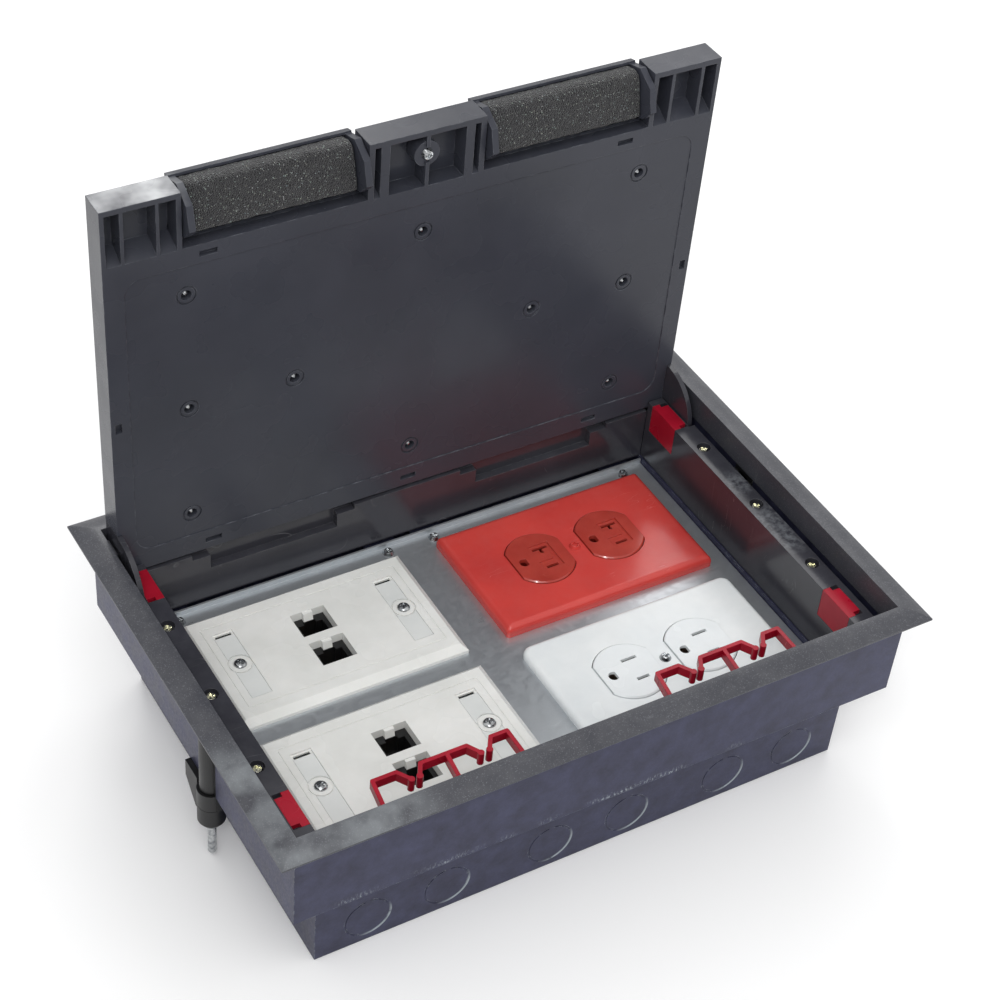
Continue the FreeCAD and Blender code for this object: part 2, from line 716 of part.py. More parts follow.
def data_plate():
    height = data_plate_height
    plate = plate_blank(height, ("slope", 3.2, 3.2), 0)
    for side in (-1, 1):
        x = side * label_centre
        screw_x = side * device_screw_spacing / 2
        plate = plate.fuse(rod(label_boss_radius + 1.5, screw_x, 0, 0, height))
        strip_recess = block(x - label_width / 2, x + label_width / 2, -label_length / 2,
                             label_length / 2, height - 0.9, height)
        strip_recess = strip_recess.fuse(rod(label_boss_radius + 0.5, screw_x, 0, height - 0.9, height))
        plate = plate.cut(strip_recess.cut(rod(label_boss_radius, screw_x, 0, 0, height - 0.2)))
        plate = plate.cut(block(x - 4.0, x + 4.0, label_length / 2 - 2.6, label_length / 2 - 0.8,
                                0, height))
        plate = plate.cut(rod(screw_head_diameter / 2 + 0.2, screw_x, 0, 1.4, height))
        plate = plate.cut(rod(screw_shank_diameter / 2 + 0.1, screw_x, 0, 0, height))
        for row in (-0.5, 0.5):
            y = row * keystone_pitch
            half_x, half_y = keystone_width / 2, keystone_depth / 2
            plate = plate.fuse(block(-half_x - keystone_wall, half_x + keystone_wall, y - half_y - keystone_wall,
                                     y + half_y + keystone_wall, 0, height))
            plate = plate.cut(block(-half_x, half_x, y - half_y, y + half_y, 0, height))
    line = 0.5
    outer = rounded_slab(0, 0, 50.0, 26.5, 0.8, height - 0.3, height)
    inner = rounded_slab(0, 0, 50.0 - line, 26.5 - line, 0.8, height - 0.3, height)
    plate = plate.cut(outer.cut(inner))
    latch_y = keystone_depth / 2 - 2.6
    for row in (-0.5, 0.5):
        y = row * keystone_pitch
        tab = side_prism([(y + keystone_depth / 2, 0.6), (y + keystone_depth / 2, height - 0.4),
                          (y + latch_y + 1.0, height - 0.4), (y + latch_y, 0.6)], -2.4, 2.4)
        step = block(-4.5, 4.5, y - keystone_depth / 2, y - keystone_depth / 2 + 1.2, 0, height - 3.2)
        plate = plate.fuse(tab).fuse(step)
    return plate.removeSplitter()


def label_cover(side):
    # The slip-in cover of one label strip, notched at its rear end and round its screw
    height = data_plate_height
    x = side * label_centre
    half_x = label_width / 2 - 0.15
    cover = block(x - half_x, x + half_x, -label_length / 2 + 0.15, label_length / 2 - 3.2,
                  height - 0.9, height - 0.1)
    return cover.cut(rod(label_boss_radius + 0.6, side * device_screw_spacing / 2, 0, 0, height))


def keystone_jack(row):
    # A black jack with its open cavity and the step for the plug's latch
    y = row * keystone_pitch
    top = data_plate_height - jack_drop
    half_x = keystone_width / 2 - 0.2
    front = y - keystone_depth / 2 + 1.4
    body = block(-half_x, half_x, front, y + keystone_depth / 2 - 0.2, top - jack_length, top)
    body = body.cut(block(-6.1, 6.1, y - 4.9, y + 3.1, top - 14.0, top))
    return body.cut(block(-3.1, 3.1, y + 3.1, y + 4.7, top - 10.0, top))


def duplex_face(extra, z0, z1):
    radius = face_diameter / 2 + extra
    flat = face_flat / 2 + extra
    return rod(radius, 0, 0, z0, z1).common(block(-flat, flat, -radius, radius, z0, z1))


def wall_plate(height, corner, bevel):
    plate = plate_blank(height, bevel, corner)
    for side in (-1, 1):
        hole = duplex_face(face_gap, 0, height)
        hole.translate(V(side * face_spacing / 2, 0, 0))
        plate = plate.cut(hole)
    return plate.cut(rod(screw_shank_diameter / 2 + 0.1, 0, 0, 0, height))


def receptacle(height, t_slots):
    # Two faces on one body that hangs through the mounting plate, with blade and ground slots
    top = height + face_rise
    half_x, half_y = receptacle_width / 2, receptacle_height / 2
    body = block(-half_x, half_x, -half_y, half_y, -receptacle_depth, -0.1)
    parts = [body]
    for side in (-1, 1):
        face = duplex_face(0, -1, top - 0.6)
        rim = Part.makeCone(face_diameter / 2, face_diameter / 2 - 0.6, 0.6, V(0, 0, top - 0.6), Z_AXIS)
        face = face.fuse(rim.common(block(-face_flat / 2, face_flat / 2, -20, 20, -1, top)))
        face.translate(V(side * face_spacing / 2, 0, 0))
        parts.append(face)
    part = fused(parts)
    depth = 7.0
    for side in (-1, 1):
        cx = side * face_spacing / 2 + 3.2
        for row, length in ((-1, 6.4), (1, 8.0)):
            y = row * blade_spacing / 2
            part = part.cut(block(cx - length / 2, cx + length / 2, y - 0.8, y + 0.8, top - depth, top))
        if t_slots:
            y = blade_spacing / 2
            part = part.cut(block(cx - 0.8, cx + 0.8, y - 4.2, y, top - depth, top))
            dish = block(cx - 5.4, cx + 5.4, -blade_spacing / 2 - 2.2, blade_spacing / 2 + 2.2, top - 1.0, top)
            island = block(cx - 5.4, cx + 2.6, -2.6, 2.6, top - 1.0, top)
            part = part.cut(dish.cut(island))
        ground = rod(2.5, cx - 11.9, 0, top - depth, top)
        ground = ground.common(block(cx - 16, cx - 10.2, -3, 3, top - depth, top))
        part = part.cut(ground)
    return part.cut(rod(screw_shank_diameter / 2, 0, 0, -8, top))


def yoke():
    # The receptacle's steel strap, lying on the mounting plate under the cover
    strap = block(-yoke_length / 2, yoke_length / 2, -yoke_width / 2, yoke_width / 2, 0, yoke_thickness)
    for side in (-1, 1):
        face = duplex_face(fit_gap, 0, yoke_thickness)
        face.translate(V(side * face_spacing / 2, 0, 0))
        strap = strap.cut(face)
        strap = strap.cut(rod(screw_shank_diameter / 2, side * device_screw_spacing / 2, 0, 0, yoke_thickness))
    return strap.cut(rod(screw_shank_diameter / 2, 0, 0, 0, yoke_thickness))


def placed(shape, column, row):
    moved = shape.copy()
    moved.translate(V(column * device_column, device_rows[row], plate_z))
    return moved


# --- Fasteners ---

def pan_head_screw(x, y, seat, length, head_radius=screw_head_diameter / 2, head=screw_head_height,
                   shank=screw_shank_diameter / 2):
    # A domed head with a cross recess, standing on its seat
    cap = Part.makeCone(head_radius, head_radius * 0.7, head, V(x, y, seat), Z_AXIS)
    slot, arm = head_radius * 0.22, head_radius * 0.62
    for half_x, half_y in ((arm, slot), (slot, arm)):
        cap = cap.cut(block(x - half_x, x + half_x, y - half_y, y + half_y, seat + head * 0.35, seat + head))
    return cap.fuse(rod(shank, x, y, seat - length, seat)).removeSplitter()


def mounting_screws():
    places = [(side * column, row) for column in mount_screw_columns for side in (-1, 1)
              for row in mount_screw_rows]
    return [pan_head_screw(x, y, plate_z, 6.0) for x, y in places]


def rail_screws():
    x = well_half_width + rail_screw_inset
    return [pan_head_screw(side * x, y, rail_z - 3.0, screw_length)
            for side in (-1, 1) for y in rail_screw_rows]


def data_plate_screws():
    screws = []
    for row in (0, 1):
        for side in (-1, 1):
            screw = pan_head_screw(side * device_screw_spacing / 2, 0, 1.4, 3.4)
            screws.append(placed(screw, -1, row))
    return screws


def lid_screw():
    screw = pan_head_screw(0, 0, 0, screw_length - 1.0)
    screw.rotate(V(0, 0, 0), X_AXIS, 180)
    screw.translate(V(0, lid_front + 11.7, lid_under + 1.0))
    return screw


# --- Fixing clamp, drawn at the left-hand wall ---

def clamp_bracket():
    # A moulded guide in the wall's slot, with a cup that holds the screw's head
    half = clamp_slot_width / 2 - fit_gap
    wall_in = -upper_width / 2 + clamp_slot_reach - fit_gap
    top = rail_z - rail_thickness - fit_gap
    column = block(-upper_width / 2 + 0.2, wall_in, clamp_row - half, clamp_row + half, lower_height - 6.0, top)
    cup = rod(clamp_body_radius, clamp_x, clamp_row, lower_height - 10.0, lower_height - 0.4)
    bracket = fused([column, cup, block(clamp_x, clamp_x + 3, clamp_row - half, clamp_row + half,
                                        lower_height - 10.0, lower_height - 6.0)])
    head_z = lower_height - 4.5
    bracket = bracket.cut(rod(clamp_head_diameter / 2 + 0.4, clamp_x, clamp_row, head_z, top))
    return bracket.cut(rod(clamp_screw_diameter / 2 + pin_running_gap, clamp_x, clamp_row,
                           lower_height - 10.0, head_z))


def clamp_screw():
    radius = clamp_screw_diameter / 2
    head_z = lower_height - 4.5 + 0.05
    screw = pan_head_screw(clamp_x, clamp_row, head_z, clamp_screw_length,
                           clamp_head_diameter / 2, 3.2, radius)
    tip = Part.makeCone(radius * 0.5, radius, radius, V(clamp_x, clamp_row, head_z - clamp_screw_length - radius),
                        Z_AXIS)
    return screw.fuse(tip).removeSplitter()


def clamp_jaw():
    # Turns on the screw: a round body under the cup and a finger that swings out under the floor
    top = lower_height - 10.0 - fit_gap
    low = top - 13.0
    body = rod(clamp_body_radius, clamp_x, clamp_row, low + 3.0, top)
    body = body.fuse(Part.makeCone(clamp_body_radius - 2.0, clamp_body_radius, 3.0,
                                   V(clamp_x, clamp_row, low), Z_AXIS))
    half = 3.5
    finger_top = lower_height - 0.5
    reach = clamp_row + clamp_finger
    near = clamp_row + clamp_body_radius + fit_gap + 0.3
    outline = [(clamp_row, top), (near, top), (near, finger_top), (reach, finger_top),
               (reach, finger_top - 9.5), (clamp_row + 9.0, low + 3.0), (clamp_row, low + 3.0)]
    finger = side_prism(outline, clamp_x - half, clamp_x + half)
    jaw = fused([body, finger])
    return jaw.cut(rod(clamp_screw_diameter / 2 + pin_running_gap, clamp_x, clamp_row, low, top))


def build():
    os.makedirs("parts", exist_ok=True)
    save("upper_pan", upper_pan())
    save("lower_pan", lower_pan())
    save("bezel_frame", bezel_frame())
    right_rail = side_rail()
    save("side_rail_right", right_rail)
    save("side_rail_left", mirrored_x(right_rail))
    clips = [rail_clip(y0, y1) for y0, y1 in clip_rows()]
    save("rail_clips", clips + [mirrored_x(clip) for clip in clips])
    save("rear_liner", rear_liner())
    save("front_liner", front_liner())
    save("cable_comb_left", cable_comb(-comb_centre))
    save("cable_comb_right", cable_comb(comb_centre))
    save("lid_shell", swung_open(lid_shell()))
    save("lid_stiffener_plate", swung_open(lid_stiffener()))
    save("lid_studs", [swung_open(lid_stud(x, y)) for x, y in stud_places()])
    save("lid_screw", swung_open(lid_screw()))
    ear = swung_open(hinge_ear())
    save("hinge_ear_right", ear)
    save("hinge_ear_left", mirrored_x(ear))
    pin = hinge_pin()
    save("hinge_pins", [pin, mirrored_x(pin)])
    for side, name in ((-1, "left"), (1, "right")):
        save("cable_flap_" + name, flap_ajar(cable_flap(side)))
        save("flap_foam_" + name, flap_ajar(flap_foam(side)))
    save("mounting_plate", mounting_plate())
    save("mounting_screws", mounting_screws())
    save("rail_screws", rail_screws())
    plate = data_plate()
    save("data_plate_rear", placed(plate, -1, 0))
    save("data_plate_front", placed(plate, -1, 1))
    save("label_covers", [placed(label_cover(side), -1, row) for row in (0, 1) for side in (-1, 1)])
    save("data_jacks", [placed(keystone_jack(n), -1, row) for row in (0, 1) for n in (-0.5, 0.5)])
    save("data_plate_screws", data_plate_screws())
    save("red_wall_plate", placed(wall_plate(red_plate_height, 1.6, ("round", 3.6)), 1, 0))
    save("white_wall_plate", placed(wall_plate(white_plate_height, 5.0, ("round", 2.6)), 1, 1))
    save("red_receptacle", placed(receptacle(red_plate_height, True), 1, 0))
    save("white_receptacle", placed(receptacle(white_plate_height, False), 1, 1))
    save("receptacle_yokes", [placed(yoke(), 1, 0), placed(yoke(), 1, 1)])
    save("red_plate_screw", placed(pan_head_screw(0, 0, red_plate_height, 8.0), 1, 0))
    save("white_plate_screw", placed(pan_head_screw(0, 0, white_plate_height, 8.0), 1, 1))
    for name, make in (("bracket", clamp_bracket), ("screw", clamp_screw), ("jaw", clamp_jaw)):
        left = make()
        save("clamp_" + name + "_left", left)
        save("clamp_" + name + "_right", half_turn(left))


build()
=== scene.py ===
import bpy
import bmesh
import math
from mathutils import Matrix, Vector, noise


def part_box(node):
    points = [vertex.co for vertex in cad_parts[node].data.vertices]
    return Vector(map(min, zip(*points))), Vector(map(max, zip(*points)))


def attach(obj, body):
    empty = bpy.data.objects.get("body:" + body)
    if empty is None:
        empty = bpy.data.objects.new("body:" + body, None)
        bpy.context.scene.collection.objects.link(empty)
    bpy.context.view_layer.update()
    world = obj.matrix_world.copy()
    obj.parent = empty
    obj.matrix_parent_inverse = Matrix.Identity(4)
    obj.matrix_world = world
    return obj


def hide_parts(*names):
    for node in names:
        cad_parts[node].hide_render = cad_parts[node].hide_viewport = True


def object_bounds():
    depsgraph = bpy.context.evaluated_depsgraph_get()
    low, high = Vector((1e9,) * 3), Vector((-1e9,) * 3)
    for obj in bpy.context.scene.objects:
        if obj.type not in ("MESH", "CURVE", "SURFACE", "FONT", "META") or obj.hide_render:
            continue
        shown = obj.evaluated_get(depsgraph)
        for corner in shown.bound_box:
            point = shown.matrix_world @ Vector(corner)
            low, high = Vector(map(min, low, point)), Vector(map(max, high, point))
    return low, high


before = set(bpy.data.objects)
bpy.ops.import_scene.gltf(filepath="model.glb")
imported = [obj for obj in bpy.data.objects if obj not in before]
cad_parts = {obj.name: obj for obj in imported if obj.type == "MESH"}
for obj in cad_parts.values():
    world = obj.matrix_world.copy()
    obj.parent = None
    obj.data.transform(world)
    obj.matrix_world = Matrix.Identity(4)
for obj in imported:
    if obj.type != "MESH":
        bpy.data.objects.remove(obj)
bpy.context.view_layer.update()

mm = 0.001


cameraLook = {
    "aim": (-0.03716, -0.03698, 0.13262),  # metres, a point on the view's axis
    "azimuth": -33.3,
    "elevation": 43.99,
    "roll": 5.44,
    "distance": 0.92176,
    "lens": 79.82,
    "shift": (0.0267, 0.0860),
}


def makeCamera(look):
    a, e, roll = (math.radians(look[k]) for k in ("azimuth", "elevation", "roll"))
    back = Vector((math.sin(a) * math.cos(e), -math.cos(a) * math.cos(e), math.sin(e)))
    right = Vector((0, 0, 1)).cross(back).normalized()
    up = back.cross(right)
    turnedRight = math.cos(roll) * right + math.sin(roll) * up
    turnedUp = -math.sin(roll) * right + math.cos(roll) * up
    data = bpy.data.cameras.new("camera")
    data.sensor_width = 36
    data.lens = look["lens"]
    data.shift_x, data.shift_y = look["shift"]
    data.clip_start = 0.05
    camera = bpy.data.objects.new("camera", data)
    bpy.context.scene.collection.objects.link(camera)
    turn = Matrix((turnedRight, turnedUp, back)).transposed().to_4x4()
    camera.matrix_world = Matrix.Translation(Vector(look["aim"]) + back * look["distance"]) @ turn
    bpy.context.scene.camera = camera


makeCamera(cameraLook)
print("camera set")


def linear(hexColour):  # sRGB hex to linear RGBA
    parts = [int(hexColour[n:n + 2], 16) / 255 for n in (1, 3, 5)]
    return tuple(c / 12.92 if c <= 0.04045 else ((c + 0.055) / 1.055) ** 2.4 for c in parts) + (1.0,)


def perMetre(sizeMm):  # texture scale that gives features of this size
    return 1000.0 / sizeMm


def add(tree, kind, values=None, **settings):  # one node with its settings, values and links
    item = tree.nodes.new("ShaderNode" + kind)
    for key, value in settings.items():
        setattr(item, key, value)
    for key, value in (values or {}).items():
        if isinstance(value, bpy.types.NodeSocket):
            tree.links.new(value, item.inputs[key])
        else:
            item.inputs[key].default_value = value
    return item


def startMaterial(name):
    material = bpy.data.materials.new(name)
    material.use_nodes = True
    tree = material.node_tree
    tree.nodes.clear()
    place = add(tree, "TexCoord").outputs["Object"]
    return material, tree, place


def noiseOf(tree, place, sizeMm, detail=3.0, rough=0.55):
    return add(tree, "TexNoise", {"Vector": place, "Scale": perMetre(sizeMm), "Detail": detail,
                                  "Roughness": rough}).outputs["Fac"]


def between(tree, value, low, high, start=0.0, end=1.0):
    return add(tree, "MapRange", {"Value": value, "From Min": low, "From Max": high, "To Min": start,
                                  "To Max": end}).outputs["Result"]


def blendColour(tree, amount, first, second):
    return add(tree, "Mix", {0: amount, 6: first, 7: second}, data_type="RGBA").outputs[2]


def times(tree, first, second):
    return add(tree, "Math", {0: first, 1: second}, operation="MULTIPLY").outputs[0]


def plus(tree, first, second):
    return add(tree, "Math", {0: first, 1: second}, operation="ADD", use_clamp=True).outputs[0]


def scratchMask(tree, place, turn, lengthMm, widthMm, amount):
    # long thin marks: the level lines of a stretched noise, broken up by a coarse one
    lined = add(tree, "Mapping", {"Vector": place, "Rotation": turn,
                                  "Scale": (1.0, lengthMm / widthMm / 12, 1.0)}).outputs[0]
    wave = noiseOf(tree, lined, lengthMm, 2.0, 0.4)
    level = add(tree, "Math", {0: wave, 1: 0.5}, operation="SUBTRACT").outputs[0]
    line = between(tree, add(tree, "Math", {0: level}, operation="ABSOLUTE").outputs[0], 0.0, 0.006, 1.0,
                   0.0)
    broken = between(tree, noiseOf(tree, place, lengthMm * 0.8, 2.0), 0.62 - amount, 0.70)
    return times(tree, line, broken)


def scratches(tree, place, amount):  # two crossing sets, none where the amount is 0
    if not amount:
        return 0.0
    first = scratchMask(tree, place, (0.3, 0.2, 0.7), 38.0, 0.5, amount)
    return plus(tree, first, scratchMask(tree, place, (0.1, 0.5, -0.6), 26.0, 0.4, amount))


def edgeMask(tree, radiusMm, gain):
    # 1 on outside edges, from the angle between the rounded and the real normal
    rounded = add(tree, "Bevel", {"Radius": radiusMm * mm}, samples=4).outputs[0]
    flat = add(tree, "NewGeometry").outputs["True Normal"]
    facing = add(tree, "VectorMath", {0: rounded, 1: flat}, operation="DOT_PRODUCT").outputs["Value"]
    return between(tree, facing, 1.0 - gain, 1.0, 1.0, 0.0)


def upward(tree, low=0.5, high=1.0):
    normal = add(tree, "NewGeometry").outputs["Normal"]
    split = add(tree, "SeparateXYZ", {0: normal}).outputs["Z"]
    return between(tree, split, low, high)


def markAndHighlightMask(tree, place, spots, grainMm):
    # handling marks, and on the lid a painted highlight: soft cloudy patches of a given radius round each
    # spot, in millimetres
    mask = 0.0
    for x, y, z, radius in spots:
        reach = add(tree, "VectorMath", {0: place, 1: (x * mm, y * mm, z * mm)},
                    operation="DISTANCE").outputs["Value"]
        mask = plus(tree, mask, between(tree, reach, 0.25 * radius * mm, radius * mm, 1.0, 0.0))
    own = add(tree, "SeparateXYZ", {0: add(tree, "TexCoord").outputs["Normal"]}).outputs["Z"]
    mask = times(tree, mask, between(tree, own, 0.5, 0.9))
    return times(tree, mask, between(tree, noiseOf(tree, place, grainMm, 3.0, 0.55), 0.36, 0.64))


def mouldedPlastic(name, look):
    # an injection-moulded skin: slight colour clouds, spark-eroded grain, scuffs and rubbed edges, which on
    # the red plate are partly a painted highlight
    material, tree, place = startMaterial(name)
    cloud = noiseOf(tree, place, look["cloudMm"], 4.0)
    colour = blendColour(tree, between(tree, cloud, 0.3, 0.7), linear(look["colour"]),
                         linear(look["shade"]))
    grain = noiseOf(tree, place, look["grainMm"], 2.0, 0.6)
    if "fleck" in look:  # bright mineral flecks in the filled plastic
        cell = add(tree, "TexVoronoi", {"Vector": place,
                                        "Scale": perMetre(look["fleckMm"])}).outputs["Color"]
        value = add(tree, "SeparateColor", {0: cell}).outputs[0]
        colour = blendColour(tree, between(tree, value, look["fleckFrom"], 1.0, 0.0, 0.4), colour,
                             linear(look["fleck"]))
    scuff = scratches(tree, place, look["scratch"])
    colour = blendColour(tree, times(tree, scuff, look["scuffStrength"]), colour, linear(look["wornAndHighlight"]))
    dust = times(tree, upward(tree), between(tree, noiseOf(tree, place, 9.0, 6.0, 0.65), 0.42, 0.75))
    colour = blendColour(tree, times(tree, dust, look["dust"]), colour, linear(look["dustColour"]))
    # handling marks on the bezel and rails; on the lid a painted highlight on its left block's top
    if "markAndHighlightSpots" in look:
        mark = markAndHighlightMask(tree, place, look["markAndHighlightSpots"], look["markAndHighlightMm"])
        colour = blendColour(tree, times(tree, mark, look["markAndHighlightStrength"]), colour,
                             linear(look["markAndHighlightColour"]))
    # rubbed edges in the wear colour; on the red plate partly a painted highlight along the rim
    uneven = between(tree, noiseOf(tree, place, 6.0, 5.0), 0.45, 0.7)
    rubbedAndHighlitEdge = times(tree, edgeMask(tree, look["edgeMm"], 0.35), uneven)
    colour = blendColour(tree, times(tree, rubbedAndHighlitEdge, look["edgeWearAndHighlight"]), colour, linear(look["wornAndHighlight"]))
    smear = between(tree, noiseOf(tree, place, 24.0, 2.0, 0.5), 0.25, 0.75)
    low, high = look["roughness"]
    roughness = plus(tree, between(tree, smear, 0.0, 1.0, low, high), times(tree, scuff, 0.15))
    rounded = add(tree, "Bevel", {"Radius": look["edgeMm"] * 0.6 * mm}, samples=4).outputs[0]
    skin = add(tree, "Bump", {"Height": grain, "Strength": look["grainStrength"], "Distance": 0.05 * mm,
                              "Normal": rounded}).outputs[0]
    skin = add(tree, "Bump", {"Height": scuff, "Strength": 0.25, "Distance": 0.04 * mm, "Normal": skin},
               invert=True).outputs[0]
    shader = add(tree, "BsdfPrincipled", {"Base Color": colour, "Roughness": roughness, "Normal": skin,
                                          "IOR": look.get("ior", 1.5)})
    shader.inputs["Specular IOR Level"].default_value = look.get("specular", 0.5)
    shader.inputs["Coat Weight"].default_value = look.get("coat", 0.0)
    shader.inputs["Coat Roughness"].default_value = 0.12
    if "soft" in look:  # light that enters the thin bright wall and comes out tinted
        shader.inputs["Subsurface Weight"].default_value = look["soft"]
        shader.inputs["Subsurface Radius"].default_value = look["softRadius"]
        shader.inputs["Subsurface Scale"].default_value = 1.2 * mm
    if "inside" in look:  # painted shade: a darker colour below a height, so the slots and the gaps round the face read as shaded
        height = add(tree, "SeparateXYZ", {0: place}).outputs["Z"]
        slotShadeMask = between(tree, height, look["insideTop"] * mm, (look["insideTop"] - 0.4) * mm)
        colour = blendColour(tree, slotShadeMask, colour, linear(look["inside"]))
        tree.links.new(colour, shader.inputs["Base Color"])
    add(tree, "OutputMaterial", {"Surface": shader.outputs[0]})
    return material


def sheetSteel(name, look):
    # sheet with a zinc or paint skin: crystal or orange-peel pattern, rub marks, bright cut edges
    material, tree, place = startMaterial(name)
    cloud = noiseOf(tree, place, look["cloudMm"], 5.0, 0.6)
    colour = blendColour(tree, between(tree, cloud, 0.3, 0.72), linear(look["colour"]),
                         linear(look["shade"]))
    crystal = add(tree, "TexVoronoi", {"Vector": place,
                                       "Scale": perMetre(look["patternMm"])}).outputs["Color"]
    crystal = add(tree, "SeparateColor", {0: crystal}).outputs[0]
    colour = blendColour(tree, times(tree, crystal, look["patternStrength"]), colour,
                         linear(look["pattern"]))
    drawn = add(tree, "Mapping", {"Vector": place, "Scale": look["brushScale"]}).outputs[0]
    brush = noiseOf(tree, drawn, 1.0, 2.0)
    scuff = scratches(tree, place, look["scratch"])
    colour = blendColour(tree, times(tree, scuff, look["scuffStrength"]), colour, linear(look["wornAndHighlight"]))
    if "nicks" in look:  # short upright knocks just above the fold
        low, high = look["nicks"]
        split = add(tree, "SeparateXYZ", {0: place})
        band = times(tree, between(tree, split.outputs["Z"], low * mm, (low + 1) * mm),
                     between(tree, split.outputs["Z"], high * mm, (low + 1) * mm))
        band = times(tree, band, between(tree, split.outputs["Y"], look["nickFront"] * mm + 0.0003,
                                         look["nickFront"] * mm))
        upright = add(tree, "Mapping", {"Vector": place, "Scale": (1.0, 1.0, 0.35)}).outputs[0]
        knock = between(tree, noiseOf(tree, upright, 1.2, 5.0, 0.75), 0.50, 0.60)
        knock = times(tree, times(tree, knock, band), between(tree, noiseOf(tree, place, 44.0, 2.0), 0.50,
                                                              0.60))
        colour = blendColour(tree, times(tree, knock, 0.8), colour, linear(look["wornAndHighlight"]))
    if "rimHighlightCentres" in look:  # painted highlight: the wear colour on the lower right rims of the punched knockouts
        split = add(tree, "SeparateXYZ", {0: place})
        rim = 0.0
        for centre in look["rimHighlightCentres"]:
            for side in (-1, 1):
                middle = (side * centre * mm, 0.0, look["rimHighlightHeight"] * mm)
                flat = add(tree, "CombineXYZ", {0: split.outputs["X"], 2: split.outputs["Z"]}).outputs[0]
                reach = add(tree, "VectorMath", {0: flat, 1: middle}, operation="DISTANCE").outputs["Value"]
                off = add(tree, "Math", {0: reach, 1: look["rimHighlightRadius"] * mm},
                          operation="SUBTRACT").outputs[0]
                ring = between(tree, add(tree, "Math", {0: off}, operation="ABSOLUTE").outputs[0],
                               0.25 * mm, 0.70 * mm, 1.0, 0.0)
                along = add(tree, "VectorMath", {0: flat, 1: middle},
                            operation="SUBTRACT").outputs["Vector"]
                lower = add(tree, "VectorMath", {0: along, 1: (0.75, 0.0, -0.66)}, operation="DOT_PRODUCT")
                rim = plus(tree, rim, times(tree, ring, between(tree, lower.outputs["Value"], 4 * mm,
                                                                10 * mm)))
        rim = times(tree, rim, between(tree, noiseOf(tree, place, 7.0, 3.0, 0.6), 0.28, 0.46))
        colour = blendColour(tree, times(tree, rim, 0.9), colour, linear(look["wornAndHighlight"]))
    nick = between(tree, noiseOf(tree, place, 3.5, 5.0, 0.7), 0.5, 0.62)
    wornAndHighlight = times(tree, edgeMask(tree, look["edgeMm"], 0.3), nick)
    colour = blendColour(tree, times(tree, wornAndHighlight, look["edgeWearAndHighlight"]), colour, linear(look["wornAndHighlight"]))
    low, high = look["roughness"]
    roughness = between(tree, plus(tree, times(tree, brush, 0.5), times(tree, cloud, 0.5)), 0.3, 0.7, low,
                        high)
    roughness = plus(tree, roughness, times(tree, crystal, look["patternRough"]))
    rounded = add(tree, "Bevel", {"Radius": 0.35 * mm}, samples=4).outputs[0]
    skin = add(tree, "Bump", {"Height": brush, "Strength": look["brushStrength"], "Distance": 0.05 * mm,
                              "Normal": rounded}).outputs[0]
    skin = add(tree, "Bump", {"Height": scuff, "Strength": 0.3, "Distance": 0.04 * mm, "Normal": skin},
               invert=True).outputs[0]
    metal = plus(tree, look["metallic"], times(tree, wornAndHighlight, look["edgeWearAndHighlight"] * 0.5))
    shader = add(tree, "BsdfPrincipled", {"Base Color": colour, "Roughness": roughness, "Metallic": metal,
                                          "Normal": skin})
    add(tree, "OutputMaterial", {"Surface": shader.outputs[0]})
    return material


def platedScrew(name, look):
    # zinc plating with a chromate film: fine turning marks and uneven tint
    material, tree, place = startMaterial(name)
    tint = noiseOf(tree, place, 2.2, 4.0)
    colour = blendColour(tree, between(tree, tint, 0.35, 0.65), linear(look["colour"]),
                         linear(look["shade"]))
    turned = noiseOf(tree, place, 0.35, 2.0)
    dull = between(tree, noiseOf(tree, place, 1.2, 3.0), 0.3, 0.7, *look["roughness"])
    rounded = add(tree, "Bevel", {"Radius": 0.2 * mm}, samples=4).outputs[0]
    skin = add(tree, "Bump", {"Height": turned, "Strength": 0.25, "Distance": 0.03 * mm,
                              "Normal": rounded}).outputs[0]
    shader = add(tree, "BsdfPrincipled", {"Base Color": colour, "Roughness": dull, "Metallic": 1.0,
                                          "Normal": skin})
    add(tree, "OutputMaterial", {"Surface": shader.outputs[0]})
    return material


def openCellFoam(name, look):
    # reticulated polyurethane: dark walls round pits with painted shade, and painted glints on a few
    # strands that catch the light
    material, tree, place = startMaterial(name)
    cell = add(tree, "TexVoronoi", {"Vector": place, "Scale": perMetre(look["cellMm"])},
               feature="DISTANCE_TO_EDGE").outputs["Distance"]
    wall = between(tree, cell, 0.0, 0.28, 1.0, 0.0)
    cloud = noiseOf(tree, place, 7.0, 4.0)
    # painted shade in the cell hollows
    colour = blendColour(tree, wall, linear(look["pitShade"]), linear(look["strand"]))
    colour = blendColour(tree, times(tree, between(tree, cloud, 0.45, 0.75), 0.2), colour,
                         linear(look["dust"]))
    # painted glints on a few strands
    spark = add(tree, "TexVoronoi", {"Vector": place, "Scale": perMetre(look["glintMm"])}).outputs["Color"]
    bright = add(tree, "SeparateColor", {0: spark}).outputs[1]
    tinted = blendColour(tree, 0.85, spark, linear("#bcbcc1"))
    colour = blendColour(tree, between(tree, bright, 0.955, 0.99, 0.0, 0.65), colour, tinted)
    skin = add(tree, "Bump", {"Height": wall, "Strength": 1.0, "Distance": 0.45 * mm}).outputs[0]
    shader = add(tree, "BsdfPrincipled", {"Base Color": colour, "Roughness": 0.9, "Normal": skin})
    shader.inputs["Sheen Weight"].default_value = 0.25
    shader.inputs["Sheen Roughness"].default_value = 0.5
    add(tree, "OutputMaterial", {"Surface": shader.outputs[0]})
    return material


